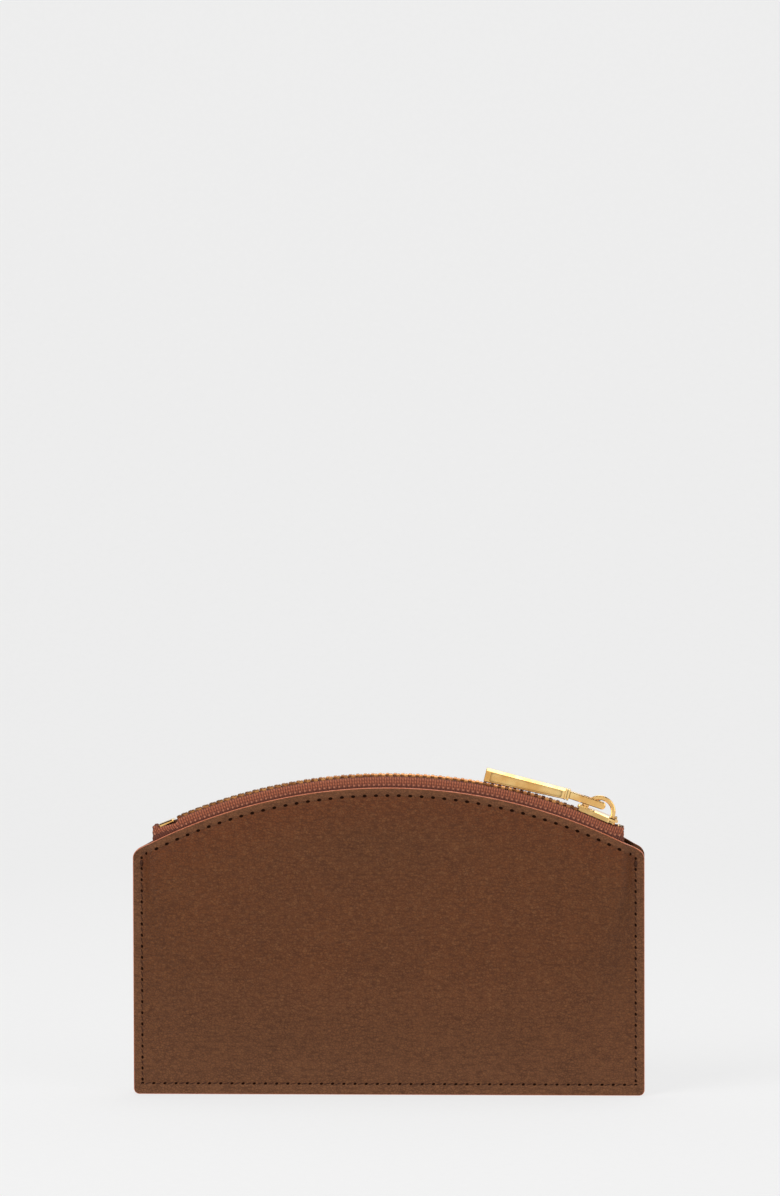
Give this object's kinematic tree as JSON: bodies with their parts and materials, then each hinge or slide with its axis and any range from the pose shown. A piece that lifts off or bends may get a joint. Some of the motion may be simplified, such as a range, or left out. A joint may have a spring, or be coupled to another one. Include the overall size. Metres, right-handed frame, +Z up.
{
  "type": "zippered pouch",
  "caption": "Flat leather pouch with an arched metal zip along its top, a slider with a long hinged pull, and a slim pocket inside.",
  "frame": {"origin": "middle of the base seam, on the surface the pouch stands on, midway between the two leather panels", "axes": "+Z up towards the zip; +X to the right of someone facing the front; the front panel faces -Y; the slider rests at the +X end"},
  "size_m": [0.13, 0.0098, 0.0832],
  "materials": {
    "leather": "smooth waxed, fine grain, lighter coated cut edge",
    "stiffener": "matt fibre board",
    "lining": "matt twill",
    "zip_tape": "ribbed woven tape",
    "zip_metal": "polished",
    "thread": "waxed, tone on tone"
  },
  "bodies": {
    "pouch": {"back_leather_panel": "leather", "back_lining": "lining", "back_mouth_stitches": "thread", "back_seam_stitches": "thread", "back_stiffener": "stiffener", "back_tape_cord": "zip_tape", "back_top_stop": "zip_metal", "back_zip_tape": "zip_tape", "back_zip_teeth": "zip_metal", "bottom_stop": "zip_metal", "front_leather_panel": "leather", "front_lining": "lining", "front_mouth_stitches": "thread", "front_seam_stitches": "thread", "front_stiffener": "stiffener", "front_tape_cord": "zip_tape", "front_top_stop": "zip_metal", "front_zip_tape": "zip_tape", "front_zip_teeth": "zip_metal"},
    "slider": {"slider_body": "zip_metal", "slider_bridge": "zip_metal"},
    "pull": {"pull_neck": "zip_metal", "pull_bar": "zip_metal"}
  },
  "joints": [
    {"name": "slider_travel", "type": "hinge", "parent": "pouch", "child": "slider", "pos_m": [0, 0, -0.057], "axis": [0, 1, 0], "range_deg": [-43, 0], "deforming": ["front_zip_teeth", "back_zip_teeth"]},
    {"name": "pull_swing", "type": "hinge", "parent": "slider", "child": "pull", "pos_m": [0.05422, 0, 0.0737], "axis": [0, 1, 0], "range_deg": [0, 170]}
  ]
}
